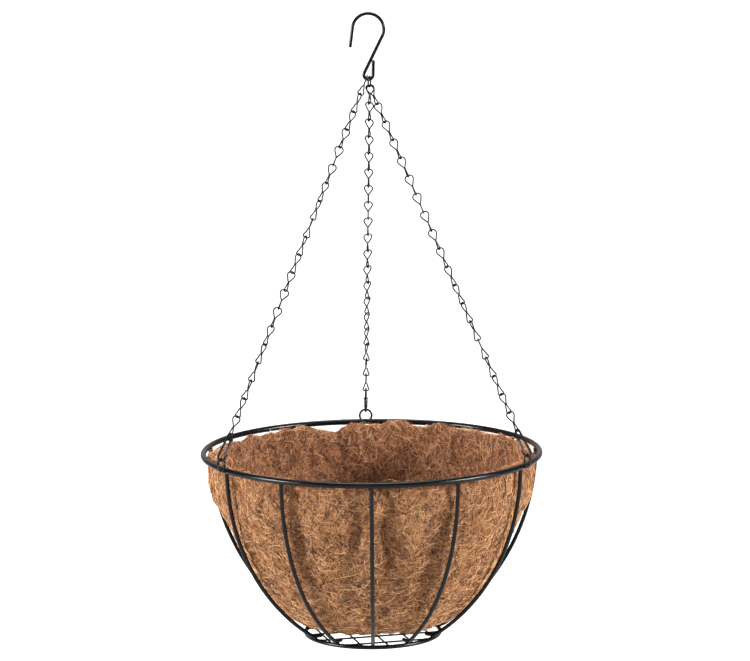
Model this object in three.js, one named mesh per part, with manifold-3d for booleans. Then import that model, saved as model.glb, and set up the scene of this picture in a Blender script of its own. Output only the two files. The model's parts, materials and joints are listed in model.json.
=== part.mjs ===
// Wire hanging basket with a coir liner, three jack-chain strands, snap clips and an S-hook.
// Millimetres, +Z up. The origin is the top of the S-hook's inside curve, where it hangs on a bar,
// and the basket's axis is the Z axis.

import * as THREE from 'three';
import * as BufferGeometryUtils from 'three/addons/utils/BufferGeometryUtils.js';
import Module from 'manifold-3d';

// ---------------------------------------------------------------- driving dimensions

const GAP = 0.35;                    // running clearance between pieces that move on each other
const WELD_GAP = 0.3;                // left open between pieces that are welded together

const RIM = { radius: 174.8, wire: 6.0, segments: 48, sides: 8 };
const BASE_RING = { radius: 70, wire: 4.5, depth: 191, segments: 36, sides: 6 };
const RIB = { count: 12, wire: 4.2, topRadius: 173, sweep: 225, footBend: 16, footLength: 5, sides: 6 };
// How far each rib was welded off the even spacing, in degrees, counted round from the front.
const RIB_SHIFTS = [0, 0, 1, 7, 0, 0, 0, 0, 0, -12, 2, -1.5];
const GRID = { wire: 2.0, pitch: 27, perFamily: 5, turn: 15.5, sides: 6 };
const LINER = { thickness: 9, ribClearance: 4.5, depth: 177, footBend: 34, rimDrop: 3.5, segments: 36 };
// The liner's top edge rises and falls in two sets of lobes, which fade out below it.
const EDGE_WAVE = { height: 2.2, lobes: 5, phase: 0.6, smallHeight: 1.1, smallLobes: 9, fade: 40 };
const CAGE_STEPS = { side: 7, bend: 3 };

const HOOK = { wire: 3.4, crown: 16.0, eye: 4.7, spread: 46.6, tipLength: 20, tipLean: 7.5,
  tailLength: 14.5, tailLean: 1.5, topFlat: 7, sides: 8 };
const HOOK_STEPS = { tipSide: 6, shankSide: 8, eye: 9 };
const HOOK_TO_RIM = 387.7;           // from the hook's lowest wire centre down to the rim's centre
const JOINING_LINK = { wire: 1.7, bend: 3.7, straight: 4.6, turn: 70, seat: 36, play: 0.6,
  steps: 14, sides: 6 };
// The left hanger link rests in the hook's eye; the others rest in the joining link, side by side.
const HANGERS = { leftSeat: -54, leftPlay: 0.9, leftShift: 1.0, spacing: 2.3,
  backPlay: 0.45, rightPlay: 0.75 };

const RIM_RING = { radius: 6.5, wire: 2.3, rise: 6, steps: 18, sides: 6,
  angles: { left: 212, back: 92, right: 332 } };
const CLIP = { wire: 2.2, bowRadius: 4, bowShift: 0.5, eyeRadius: 2.3, height: 27,
  noseRise: 4.1, noseLean: 0.4, hingeHeight: 17, hingeReach: 0.9, endBelowHinge: 1.2,
  bowSteps: 8, eyeSteps: 6, sides: 6 };
const GATE = { plate: 0.8, width: 3.8, tip: 3.4, tongueTop: 3.3, tongueWidth: 1.0,
  pin: 0.8, pinOverhang: 0.5 };
const EAR = { plate: 0.6, reach: 1.2, heel: 1.1, toe: 0.2, drop: 5.7, rise: 1.1,
  shoulder: 0.6, holePlay: 0.3 };

const LINK = { wire: 1.5, halfWidth: 4.3, lowerHalfWidth: 3.2, footHalf: 1.9, footRise: 1.6, waist: 0.47,
  sides: 4 };
// Where the wire crosses itself at the waist: one pass near the axis and one that goes round it.
const CROSSING = { near: 0.8, nearRise: 1.0, far: 1.2, farRise: 0.7, farDrop: 1.15 };
const WELD_DEPTH = 0.22;             // how far the links of one chain section run into each other

// Links in each chain section, counted up from the clip. The uppermost link of a strand stays on
// the hanger as a piece of its own, and the strand is open just below it.
const SECTIONS = {
  left: [2, 3, 3, 3, 3, 3, 2],
  back: [2, 3, 3, 3, 3, 2, 2],
  right: [2, 3, 3, 3, 3, 2, 2],
};
// Turn of the chain about its own length, from the clip to the hanger, in degrees, and how much
// faster it turns near the clip than near the hanger.
const STRAND_TWIST = {
  left: { turn: 418, ease: 1 },
  back: { turn: -116, ease: 1.7 },
  right: { turn: -180, ease: 1.7 },
};

// ---------------------------------------------------------------- derived places

const rad = THREE.MathUtils.degToRad;
const deg = THREE.MathUtils.radToDeg;
const vec = (x, y, z) => new THREE.Vector3(x, y, z);
const UP = vec(0, 0, 1);
const FRONT = -90;                   // the angle of the -Y side, where the first rib stands

// The crown's top facet is level and spans topFlat degrees to each side; its inside face is at z = 0.
const crownCentreZ = flatRadius(HOOK.wire, HOOK.sides) - HOOK.crown * Math.cos(rad(HOOK.topFlat));
const eyeCentreZ = crownCentreZ - HOOK.spread;
const RIM_Z = eyeCentreZ - HOOK.eye - HOOK_TO_RIM;
const BASE_Z = RIM_Z - BASE_RING.depth;

// ---------------------------------------------------------------- materials

const blackCoat = new THREE.MeshStandardMaterial({ color: 0x17171a, roughness: 0.42, metalness: 0.35 });
const clipSteel = new THREE.MeshStandardMaterial({ color: 0x2a2a2d, roughness: 0.35, metalness: 0.7 });
const coir = new THREE.MeshStandardMaterial({ color: 0xa9743f, roughness: 0.95, metalness: 0 });

// ---------------------------------------------------------------- geometry helpers

// A path through exact corners, so a wire has just the facets that its bends need.
class CornerPath extends THREE.Curve {
  constructor(corners) {
    super();
    this.corners = corners;
  }

  getPoint(t) {
    const place = t * (this.corners.length - 1);
    const index = Math.min(Math.floor(place), this.corners.length - 2);
    return this.corners[index].clone().lerp(this.corners[index + 1], place - index);
  }

  getPointAt(t) {
    return this.getPoint(t);
  }

  getTangentAt(t) {
    const last = this.corners.length - 1;
    const index = Math.round(t * last);
    const before = this.corners[Math.max(index - 1, 0)];
    const here = this.corners[index];
    const after = this.corners[Math.min(index + 1, last)];
    const arriving = here.clone().sub(before).normalize();
    const leaving = after.clone().sub(here).normalize();
    return arriving.add(leaving).normalize();
  }
}

// Faceted wire has the cross-section area of the round wire, and flats above, below and at its sides.
function cornerRadius(diameter, sides) {
  return (diameter / 2) * Math.sqrt((2 * Math.PI) / (sides * Math.sin((2 * Math.PI) / sides)));
}

function flatRadius(diameter, sides) {
  return cornerRadius(diameter, sides) * Math.cos(Math.PI / sides);
}

function polygon(diameter, sides) {
  const radius = cornerRadius(diameter, sides);
  const firstCorner = sides % 4 === 0 ? 0.5 : 0;
  const corners = [];
  for (let i = 0; i < sides; i += 1) {
    const angle = (2 * Math.PI * (i + firstCorner)) / sides;
    corners.push(new THREE.Vector2(radius * Math.cos(angle), radius * Math.sin(angle)));
  }
  return new THREE.Shape(corners);
}

function wireAlong(corners, diameter, sides) {
  return new THREE.ExtrudeGeometry(polygon(diameter, sides), {
    steps: corners.length - 1,
    extrudePath: new CornerPath(corners),
    bevelEnabled: false,
  });
}

// Corners of an arc in a plane, as [across, up] pairs; angles in degrees.
function arc(centre, radius, from, to, steps) {
  const points = [];
  for (let i = 0; i <= steps; i += 1) {
    const angle = rad(from + ((to - from) * i) / steps);
    points.push([centre[0] + radius * Math.cos(angle), centre[1] + radius * Math.sin(angle)]);
  }
  return points;
}

function wireRing(ring) {
  const centre = new THREE.Vector2(ring.radius, 0);
  const profile = polygon(ring.wire, ring.sides).getPoints().map((point) => point.add(centre));
  profile.push(profile[0].clone());
  return new THREE.LatheGeometry(profile, ring.segments).rotateX(Math.PI / 2);
}

// Points drawn across and up, stood in the XZ plane.
function upright(outline) {
  return outline.map(([x, z]) => vec(x, 0, z));
}

// ---------------------------------------------------------------- joins

const SAME_POINT = 1e-5;

const wasm = await Module();
wasm.setup();

function toManifold(geometry) {
  const bare = geometry.clone();
  bare.deleteAttribute('normal');
  bare.deleteAttribute('uv');
  const merged = BufferGeometryUtils.mergeVertices(bare, SAME_POINT);
  return new wasm.Manifold(new wasm.Mesh({
    numProp: 3,
    vertProperties: new Float32Array(merged.attributes.position.array),
    triVerts: new Uint32Array(merged.index.array),
  }));
}

function toGeometry(solid) {
  const mesh = solid.getMesh();
  const geometry = new THREE.BufferGeometry();
  geometry.setAttribute('position', new THREE.BufferAttribute(new Float32Array(mesh.vertProperties), 3));
  geometry.setIndex(new THREE.BufferAttribute(new Uint32Array(mesh.triVerts), 1));
  geometry.computeVertexNormals();
  return geometry;
}

function joined(geometries) {
  return toGeometry(geometries.map(toManifold).reduce((whole, next) => whole.add(next)));
}

// ---------------------------------------------------------------- the assembly

const basket = new THREE.Group();

function addPiece(name, geometry, material) {
  const mesh = new THREE.Mesh(geometry, material);
  mesh.name = name;
  basket.add(mesh);
  return mesh;
}

// ---------------------------------------------------------------- S-hook and joining link

// The straight shank touches both curves, on opposite sides.
const shankAngle = deg(Math.asin((HOOK.crown + HOOK.eye) / HOOK.spread));

// The end of a straight wire that leaves a bend and leans away from the vertical.
function straightEnd(from, length, lean, direction) {
  const reach = direction * length;
  return [from[0] + reach * Math.sin(rad(lean)), from[1] + reach * Math.cos(rad(lean))];
}

function hookGeometry() {
  const crown = [0, crownCentreZ];
  const crownArc = [
    ...arc(crown, HOOK.crown, 180 - HOOK.tipLean, 90 + HOOK.topFlat, HOOK_STEPS.tipSide),
    ...arc(crown, HOOK.crown, 90 - HOOK.topFlat, -shankAngle, HOOK_STEPS.shankSide),
  ];
  const eyeArc = arc([0, eyeCentreZ], HOOK.eye, 180 - shankAngle, 360 - HOOK.tailLean, HOOK_STEPS.eye);
  const tip = straightEnd(crownArc[0], HOOK.tipLength, HOOK.tipLean, -1);
  const tail = straightEnd(eyeArc[eyeArc.length - 1], HOOK.tailLength, HOOK.tailLean, 1);
  return wireAlong(upright([tip, ...crownArc, ...eyeArc, tail]), HOOK.wire, HOOK.sides);
}

addPiece('s_hook', hookGeometry(), blackCoat);

// A place inside the hook's eye, just off its wire, at an angle from the lowest point.
function seatInEye(angle, wire, play) {
  const reach = HOOK.eye - HOOK.wire / 2 - wire / 2 - play;
  return vec(reach * Math.sin(rad(angle)), 0, eyeCentreZ - reach * Math.cos(rad(angle)));
}

function joiningLinkGeometry() {
  const { bend, wire, sides, steps } = JOINING_LINK;
  const ring = new THREE.TorusGeometry(bend, wire / 2, sides, steps);
  ring.rotateZ(Math.PI / steps);
  ring.rotateX(Math.PI / 2);
  const position = ring.attributes.position;
  for (let i = 0; i < position.count; i += 1) {
    const half = (Math.sign(position.getZ(i)) * JOINING_LINK.straight) / 2;
    position.setZ(i, position.getZ(i) + half);
  }
  return ring;
}

const linkTop = seatInEye(JOINING_LINK.seat, JOINING_LINK.wire, JOINING_LINK.play);
const linkReach = JOINING_LINK.bend + JOINING_LINK.straight / 2;
const joiningLink = addPiece('joining_link', joiningLinkGeometry(), blackCoat);
joiningLink.rotation.z = rad(JOINING_LINK.turn);
joiningLink.position.copy(linkTop).addScaledVector(UP, -linkReach);

// ---------------------------------------------------------------- welded frame

addPiece('top_rim', wireRing(RIM).translate(0, 0, RIM_Z), blackCoat);
addPiece('base_ring', wireRing(BASE_RING).translate(0, 0, BASE_Z), blackCoat);

// The side of the cage is one large arc about a point on the rim's plane, and each rib's foot
// turns level on a small arc and lies on top of the base ring.
const sweepCentre = RIB.topRadius - RIB.sweep;
const footDepth = BASE_RING.depth - BASE_RING.wire / 2 - WELD_GAP - RIB.wire / 2;

function cageProfile(sweep, bend, depth, topDepth, footLength) {
  const bendCentre = sweepCentre + Math.sqrt((sweep - bend) ** 2 - (depth - bend) ** 2);
  const turnAt = deg(Math.atan2(depth - bend, bendCentre - sweepCentre));
  const start = deg(Math.asin(topDepth / sweep));
  const side = arc([sweepCentre, 0], sweep, -start, -turnAt, CAGE_STEPS.side);
  const foot = arc([bendCentre, bend - depth], bend, -turnAt, -90, CAGE_STEPS.bend).slice(1);
  return [...side, ...foot, [bendCentre - footLength, -depth]];
}

const ribTop = RIM.wire / 2 + WELD_GAP;
const ribProfile = cageProfile(RIB.sweep, RIB.footBend, footDepth, ribTop, RIB.footLength);
const ribGeometry = wireAlong(upright(ribProfile), RIB.wire, RIB.sides);
for (let i = 0; i < RIB.count; i += 1) {
  const rib = addPiece(`rib_${String(i + 1).padStart(2, '0')}`, ribGeometry, blackCoat);
  rib.rotation.z = rad(FRONT + (360 / RIB.count) * i + RIB_SHIFTS[i]);
  rib.position.z = RIM_Z;
}

// Two families of straight wires cross inside the base ring, one family lying on the other.
const gridReach = BASE_RING.radius - BASE_RING.wire / 2 - WELD_GAP;
const gridRise = (GRID.wire + WELD_GAP) / 2;
for (const [family, turn, rise] of [['a', GRID.turn, gridRise], ['b', GRID.turn + 90, -gridRise]]) {
  for (let i = 0; i < GRID.perFamily; i += 1) {
    const offset = (i - (GRID.perFamily - 1) / 2) * GRID.pitch;
    const edge = Math.abs(offset) + GRID.wire / 2;
    const half = Math.sqrt(gridReach ** 2 - edge ** 2) - WELD_GAP;
    const corners = [vec(-half, offset, 0), vec(half, offset, 0)];
    const geometry = wireAlong(corners, GRID.wire, GRID.sides);
    const wire = addPiece(`grid_wire_${family}${i + 1}`, geometry, blackCoat);
    wire.rotation.z = rad(turn);
    wire.position.z = BASE_Z + rise;
  }
}

// ---------------------------------------------------------------- coir liner

function linerGeometry() {
  const sweep = RIB.sweep - RIB.wire / 2 - LINER.ribClearance;
  const outer = cageProfile(sweep, LINER.footBend, LINER.depth, LINER.rimDrop, 0);
  const inner = cageProfile(sweep - LINER.thickness, LINER.footBend - LINER.thickness,
    LINER.depth - LINER.thickness, LINER.rimDrop, 0);
  const profile = [[0, -LINER.depth], ...outer.reverse(), ...inner, [0, LINER.thickness - LINER.depth]];
  const points = profile.map(([r, z]) => new THREE.Vector2(r, z));
  const geometry = new THREE.LatheGeometry(points, LINER.segments).rotateX(Math.PI / 2);
  const position = geometry.attributes.position;
  for (let i = 0; i < position.count; i += 1) {
    const angle = Math.atan2(position.getY(i), position.getX(i));
    const nearEdge = Math.max(0, 1 + (position.getZ(i) + LINER.rimDrop) / EDGE_WAVE.fade);
    const lobes = EDGE_WAVE.height * Math.sin(EDGE_WAVE.lobes * angle + EDGE_WAVE.phase);
    const smallLobes = EDGE_WAVE.smallHeight * Math.sin(EDGE_WAVE.smallLobes * angle);
    position.setZ(i, position.getZ(i) + (lobes + smallLobes) * nearEdge);
  }
  return geometry;
}

addPiece('coir_liner', linerGeometry(), coir).position.z = RIM_Z;

// ---------------------------------------------------------------- chain link

// A figure-eight link of one wire, standing on its lower loop. The upper loop lies in the XZ plane
// and the lower one in the YZ plane. openTop leaves half of the upper loop away, so that the link
// can leave the loop that it hangs in.
function linkCorners(length, openTop) {
  const w = LINK.halfWidth;
  const waist = length * LINK.waist;
  const shoulder = length - w;
  const diagonal = w * Math.SQRT1_2;
  const { near, nearRise, far, farRise, farDrop } = CROSSING;
  const farSide = [
    vec(-far, 0, waist + farRise),
    vec(-w, 0, shoulder),
    vec(-diagonal, 0, shoulder + diagonal),
  ];
  const upper = [
    vec(0, 0, length),
    vec(diagonal, 0, shoulder + diagonal),
    vec(w, 0, shoulder),
    vec(near, 0, waist + nearRise),
  ];
  const lower = [
    vec(0, near, waist - nearRise),
    vec(0, LINK.lowerHalfWidth, LINK.footRise),
    vec(0, LINK.footHalf, 0),
    vec(0, -LINK.footHalf, 0),
    vec(0, -LINK.lowerHalfWidth, LINK.footRise),
    vec(0, -far, waist - farDrop),
  ];
  return openTop ? [...upper, ...lower] : [...farSide, ...upper, ...lower];
}

// ---------------------------------------------------------------- snap clip

// Drawn in the strand's own plane: X across, towards the outside of the basket, and Z up the strand,
// from the centre of the rim ring's wire.
const clipSeat = RIM_RING.wire / 2 + CLIP.wire / 2 + GAP;
const bowCentre = [CLIP.bowShift, CLIP.bowRadius - clipSeat];
const eyeCentre = [0, CLIP.height - CLIP.eyeRadius];
const noseBottom = bowCentre[0] - CLIP.bowRadius;
const hinge = { x: -CLIP.eyeRadius - CLIP.hingeReach, z: CLIP.hingeHeight };

function clipGeometry() {
  const bow = arc(bowCentre, CLIP.bowRadius, 180, 360, CLIP.bowSteps);
  const eye = arc(eyeCentre, CLIP.eyeRadius, 0, 180, CLIP.eyeSteps);
  const nose = [noseBottom - CLIP.noseLean, bowCentre[1] + CLIP.noseRise];
  const end = [hinge.x, hinge.z - CLIP.endBelowHinge];
  const body = wireAlong(upright([nose, ...bow, ...eye, end]), CLIP.wire, CLIP.sides);
  const pinLength = GATE.width + 2 * GATE.pinOverhang;
  const pin = new THREE.CylinderGeometry(GATE.pin / 2, GATE.pin / 2, pinLength, CLIP.sides);
  return joined([body, pin.translate(hinge.x, 0, hinge.z)]);
}

// A flat plate with the outline, standing in the XZ plane with its middle at y.
function plate(shape, thickness, y) {
  const options = { depth: thickness, curveSegments: CLIP.sides, bevelEnabled: false };
  const geometry = new THREE.ExtrudeGeometry(shape, options);
  return geometry.translate(0, 0, -thickness / 2).rotateX(Math.PI / 2).translate(0, y, 0);
}

function outlineShape(corners) {
  return new THREE.Shape(corners.map(([x, z]) => new THREE.Vector2(x, z)));
}

// A channel: two ears on the clip's hinge pin, and a tongue that rests inside the clip's nose.
function gateGeometry() {
  const noseInside = noseBottom - CLIP.noseLean + CLIP.wire / 2 + GAP;
  const tongueTop = hinge.z - GATE.tongueTop;
  const tongueRight = hinge.x + EAR.reach;
  const tongue = outlineShape([
    [noseInside, GATE.tip],
    [noseInside + GATE.plate, GATE.tip],
    [tongueRight, tongueTop],
    [tongueRight - GATE.tongueWidth, tongueTop],
  ]);
  const ear = outlineShape([
    [hinge.x - EAR.heel, hinge.z],
    [hinge.x - EAR.toe, hinge.z - EAR.drop],
    [hinge.x + EAR.reach, hinge.z - EAR.drop],
    [hinge.x + EAR.reach, hinge.z],
    [hinge.x + EAR.shoulder, hinge.z + EAR.rise],
    [hinge.x - EAR.shoulder, hinge.z + EAR.rise],
  ]);
  const hole = new THREE.Path();
  hole.absarc(hinge.x, hinge.z, GATE.pin / 2 + EAR.holePlay, 0, 2 * Math.PI, true);
  ear.holes.push(hole);
  const earMiddle = CLIP.wire / 2 + GAP + EAR.plate / 2;
  return joined([
    plate(tongue, GATE.width, 0),
    plate(ear, EAR.plate, earMiddle),
    plate(ear, EAR.plate, -earMiddle),
  ]);
}

// ---------------------------------------------------------------- strands

const ringRadius = RIM.radius + RIM.wire / 2 + WELD_GAP + RIM_RING.wire / 2;

function addRimRing(side, angle) {
  const { radius, wire, sides, steps } = RIM_RING;
  const geometry = new THREE.TorusGeometry(radius, wire / 2, sides, steps).rotateY(Math.PI / 2);
  const ring = addPiece(`rim_ring_${side}`, geometry, blackCoat);
  ring.rotation.z = rad(angle);
  const [x, y] = arc([0, 0], ringRadius, angle, angle, 1)[0];
  ring.position.set(x, y, RIM_Z + RIM_RING.rise);
}

// Where each strand's uppermost link hangs: the left one on the hook, the others on the joining link.
const linkBottom = linkTop.clone().addScaledVector(UP, -2 * linkReach);
const alongLink = vec(Math.cos(rad(JOINING_LINK.turn)), Math.sin(rad(JOINING_LINK.turn)), 0);
const aboveLink = JOINING_LINK.wire / 2 + LINK.wire / 2 + GAP;
const onJoiningLink = (along, play) => linkBottom.clone()
  .addScaledVector(alongLink, along).addScaledVector(UP, aboveLink + play);
const hangAt = {
  left: seatInEye(HANGERS.leftSeat, LINK.wire, HANGERS.leftPlay).add(vec(0, HANGERS.leftShift, 0)),
  back: onJoiningLink(HANGERS.spacing / 2, HANGERS.backPlay),
  right: onJoiningLink(-HANGERS.spacing / 2, HANGERS.rightPlay),
};

function addStrand(side) {
  const angle = rad(RIM_RING.angles[side]);
  const footZ = RIM_Z + RIM_RING.rise + RIM_RING.radius;
  const foot = vec(ringRadius * Math.cos(angle), ringRadius * Math.sin(angle), footZ);
  const head = hangAt[side];
  const length = foot.distanceTo(head);
  const upStrand = head.clone().sub(foot).normalize();
  const across = vec().crossVectors(upStrand, UP).normalize();
  const outwards = vec().crossVectors(across, upStrand);
  const sideways = vec().crossVectors(upStrand, outwards);

  // X outwards, Y sideways, Z up the strand
  const strand = new THREE.Group();
  strand.matrix.makeBasis(outwards, sideways, upStrand).setPosition(foot);
  strand.matrix.decompose(strand.position, strand.quaternion, strand.scale);
  basket.add(strand);

  const put = (name, geometry, material) => {
    const mesh = new THREE.Mesh(geometry, material);
    mesh.name = name;
    strand.add(mesh);
  };
  put(`clip_${side}`, clipGeometry(), clipSteel);
  put(`clip_gate_${side}`, gateGeometry(), clipSteel);

  const twist = STRAND_TWIST[side];
  const counts = [...SECTIONS[side], 1];
  const total = counts.reduce((sum, count) => sum + count, 0);
  const flats = 2 * flatRadius(LINK.wire, LINK.sides);
  const fused = flats - WELD_DEPTH;
  const free = flats + GAP;
  const clipDrop = (LINK.wire + CLIP.wire) / 2 + GAP;
  const contacts = (total - counts.length) * fused + (counts.length - 1) * free;
  const linkLength = (length - CLIP.height + clipDrop + contacts) / total;

  let base = CLIP.height - clipDrop;
  let index = 0;
  counts.forEach((count, section) => {
    const isHead = section === counts.length - 1;
    const parts = [];
    for (let i = 0; i < count; i += 1) {
      const openTop = section === counts.length - 2 && i === count - 1;
      const turn = twist.turn * (1 - (1 - index / (total - 1)) ** twist.ease);
      const link = wireAlong(linkCorners(linkLength, openTop), LINK.wire, LINK.sides);
      parts.push(link.rotateZ(rad(turn)).translate(0, 0, base));
      base += linkLength - (i === count - 1 ? free : fused);
      index += 1;
    }
    const name = isHead ? `hanger_link_${side}` : `chain_${side}_${section + 1}`;
    put(name, parts.length > 1 ? joined(parts) : parts[0], blackCoat);
  });
}

for (const [side, angle] of Object.entries(RIM_RING.angles)) {
  addRimRing(side, angle);
  addStrand(side);
}

export default basket;
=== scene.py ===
"""Looks of a wire hanging basket: black coated wire, jack chain, snap clips and a matted coir liner."""

import json
import math

import bmesh
import bpy
import numpy as np
from mathutils import Matrix, Vector


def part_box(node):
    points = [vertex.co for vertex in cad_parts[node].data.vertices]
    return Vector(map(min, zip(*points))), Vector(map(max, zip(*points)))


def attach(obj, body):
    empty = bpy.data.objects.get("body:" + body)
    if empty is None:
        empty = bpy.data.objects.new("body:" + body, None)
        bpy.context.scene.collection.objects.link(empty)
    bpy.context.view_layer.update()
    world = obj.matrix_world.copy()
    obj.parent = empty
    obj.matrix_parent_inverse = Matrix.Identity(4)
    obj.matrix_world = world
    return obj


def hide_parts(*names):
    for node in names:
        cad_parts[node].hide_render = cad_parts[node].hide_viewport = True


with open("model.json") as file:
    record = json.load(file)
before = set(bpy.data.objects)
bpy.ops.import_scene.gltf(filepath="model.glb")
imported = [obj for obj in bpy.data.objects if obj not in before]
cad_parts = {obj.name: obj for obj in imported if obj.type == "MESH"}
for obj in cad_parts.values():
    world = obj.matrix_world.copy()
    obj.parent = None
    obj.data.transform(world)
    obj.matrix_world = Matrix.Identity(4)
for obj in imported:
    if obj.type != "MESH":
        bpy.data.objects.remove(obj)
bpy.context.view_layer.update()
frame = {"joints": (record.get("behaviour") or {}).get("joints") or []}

MM = 0.001
JOINTS = {joint["name"]: joint for joint in frame["joints"]}
SIDES = ("left", "back", "right")

# ---------- sizes, in millimetres

RIM = {"wire": 6.0}
BASE = {"wire": 4.5}
RIB = {"count": 12, "wire": 4.2, "top_radius": 173.0, "sweep": 225.0, "foot_bend": 16.0,
       "foot_length": 5.0, "into_rim": 0.8, "flare": 0.28, "flare_reach": 2.0}
# How far each rib stands off the even spacing, in degrees, counted round from the front.
RIB_SHIFTS = (0, 0, 1, 7, 0, 0, 0, 0, 0, -12, 2, -1.5)
RIB_ANGLES = [-90 + 360 / RIB["count"] * i + shift for i, shift in enumerate(RIB_SHIFTS)]
GRID = {"wire": 2.0, "pitch": 27.0, "per_family": 5, "turn": 15.5, "rise": 0.97, "into_ring": 1.2,
        "bow": 0.35, "flare": 0.45, "flare_reach": 1.8}
# Half the size of each kind of weld bead along its axes.
WELD_BEAD = {"rib": (1.9, 2.7, 1.1), "rim_ring": (1.1, 1.7, 1.7)}
WELD_OVERLAP = 0.2
WELD_LUMPS = {"height": 0.16, "spacing": 1.6}
SEAM = {"bulge": 0.09, "reach": 1.8, "rim_angle": 100, "base_angle": 40}
RING_STEP = 2.6
HOOK = {"wire": 3.4, "crown": 16.0, "eye": 4.7, "spread": 46.6, "tip": 20.0, "tip_lean": 7.5,
        "tail": 14.5, "tail_lean": 1.5}
JOINING = {"wire": 1.7, "bend": 3.7, "turn": 70.0, "split": 0.35, "play": 0.6}
RING = {"radius": 6.5, "wire": 2.3}
CLIP = {"wire": 2.2, "bow": 4.0, "bow_shift": 0.5, "eye": 2.3, "height": 27.0, "nose": 4.1,
        "nose_lean": 0.4, "hinge": 17.0, "hinge_reach": 0.9, "end": 1.2, "play": 0.35}
PIN = {"wire": 0.8, "overhang": 0.4, "head": 1.9, "head_length": 0.35, "step": 0.05, "play": 0.26}
GATE = {"plate": 0.8, "width": 4.0, "tip": 3.4, "tongue_top": 3.3, "edge": 0.1, "slant": 0.3,
        "bevel": 0.12}
EAR = {"plate": 0.6, "reach": 1.2, "heel": 1.1, "toe": 0.2, "drop": 2.4, "gap": 0.3}
LINK = {"wire": 1.5, "half_width": 4.3, "lower_half_width": 3.2, "waist": 0.47, "neck": 0.42, "crown": 3.9,
        "head": 0.76, "calf": 0.52, "foot": 1.9, "toe": 0.16, "play": 0.08, "press": 0.02}
# Each strand's turn about its own length in degrees, and how many times faster it is at the clip.
TWIST = {"left": (418.0, 1.0), "back": (-116.0, 1.7), "right": (-180.0, 1.7)}
# How many links each body of a strand has, from the clip up. The last one is the hanger link.
LINKS = {"left": (2, 3, 3, 3, 3, 3, 2, 1), "back": (2, 3, 3, 3, 3, 2, 2, 1),
         "right": (2, 3, 3, 3, 3, 2, 2, 1)}

# ---------- places, from the frame


def corners(node):
    """The lowest and highest corner of a CAD node's box, in millimetres."""
    low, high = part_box(node)
    return np.array(low) / MM, np.array(high) / MM


def ring_radius(node, diameter):
    """The radius of a ring at the middle of its wire."""
    low, high = corners(node)
    return (high[0] - low[0]) / 2 - diameter / 2


RIM_LOW, RIM_HIGH = corners("top_rim")
RIM_Z = (RIM_LOW[2] + RIM_HIGH[2]) / 2
RIM_RADIUS = ring_radius("top_rim", RIM["wire"])
BASE_LOW, BASE_HIGH = corners("base_ring")
BASE_Z = (BASE_LOW[2] + BASE_HIGH[2]) / 2
BASE_RADIUS = ring_radius("base_ring", BASE["wire"])
BASE_DEPTH = RIM_Z - BASE_Z

# ---------- curves


def arc(centre, radius, start, end, steps):
    """Points of an arc in a plane, angles in degrees."""
    angles = np.radians(np.linspace(start, end, steps + 1))
    return np.stack([centre[0] + radius * np.cos(angles), centre[1] + radius * np.sin(angles)], 1)


def upright(flat):
    """Points drawn across and up, stood in the XZ plane."""
    flat = np.asarray(flat, float)
    return np.stack([flat[:, 0], np.zeros(len(flat)), flat[:, 1]], 1)


def resampled(path, step):
    """The path with points about one step apart."""
    path = np.asarray(path, float)
    lengths = np.concatenate([[0], np.cumsum(np.linalg.norm(np.diff(path, axis=0), axis=1))])
    count = max(2, int(round(lengths[-1] / step)) + 1)
    wanted = np.linspace(0, lengths[-1], count)
    return np.stack([np.interp(wanted, lengths, path[:, k]) for k in range(path.shape[1])], 1)


def rounded(points, per_span):
    """A smooth closed Catmull-Rom curve through the points."""
    points = np.asarray(points, float)
    padded = np.concatenate([points[-1:], points, points[:2]])
    t = np.linspace(0, 1, per_span, endpoint=False)[:, None]
    curve = []
    for i in range(len(points)):
        before, start, end, after = padded[i:i + 4]
        curve.append(0.5 * (2 * start + (end - before) * t + (2 * before - 5 * start + 4 * end - after) * t**2
                            + (3 * start - before - 3 * end + after) * t**3))
    return np.concatenate(curve)


# ---------- wire meshes

# A direction that no wire here runs along.
ASKEW = (0.31, 0.17, 0.93)
# How far round from its foot each ring of a domed end stands, and how far its pole is past the last.
DOME_RINGS = np.radians((62, 40, 20))
POLE_HEIGHT = 0.25
# The angle between two faces, in radians, above which a plate's edge is bevelled.
SHARP = 0.6


def turned(vectors, axes, angles):
    """Each vector turned about its own axis."""
    c, s = np.cos(angles)[:, None], np.sin(angles)[:, None]
    along = np.sum(vectors * axes, 1)[:, None]
    return vectors * c + np.cross(axes, vectors) * s + axes * along * (1 - c)


def path_frames(path, closed):
    """Tangents, and two directions across the path that don't spin about it."""
    if closed:
        tangents = np.roll(path, -1, 0) - np.roll(path, 1, 0)
    else:
        tangents = np.gradient(path, axis=0)
    tangents /= np.linalg.norm(tangents, axis=1)[:, None]
    first = np.cross(tangents[0], ASKEW)
    normals = [first / np.linalg.norm(first)]
    for tangent in tangents[1:]:
        across = normals[-1] - tangent * (normals[-1] @ tangent)
        normals.append(across / np.linalg.norm(across))
    normals = np.array(normals)
    if closed:
        back = normals[-1] - tangents[0] * (normals[-1] @ tangents[0])
        back /= np.linalg.norm(back)
        spin = math.atan2(np.cross(back, normals[0]) @ tangents[0], back @ normals[0])
        normals = turned(normals, tangents, spin * np.arange(len(path)) / len(path))
    return tangents, normals, np.cross(tangents, normals)


def tube_faces(rows, columns, closed=False):
    """Faces of a tube of points in rows. Open ends close on two poles, which come after the rows."""
    here = np.arange(rows if closed else rows - 1)[:, None] * columns
    above = (here + columns) % (rows * columns)
    one = np.arange(columns)
    two = (one + 1) % columns
    quads = np.stack([here + one, here + two, above + two, above + one], -1).reshape(-1, 4)
    if closed:
        return quads, np.zeros((0, 3), int)
    last = (rows - 1) * columns
    pole = np.full(columns, rows * columns)
    start, end = [two, one, pole], [last + one, last + two, pole + 1]
    return quads, np.concatenate([np.stack(start, 1), np.stack(end, 1)])


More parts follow.
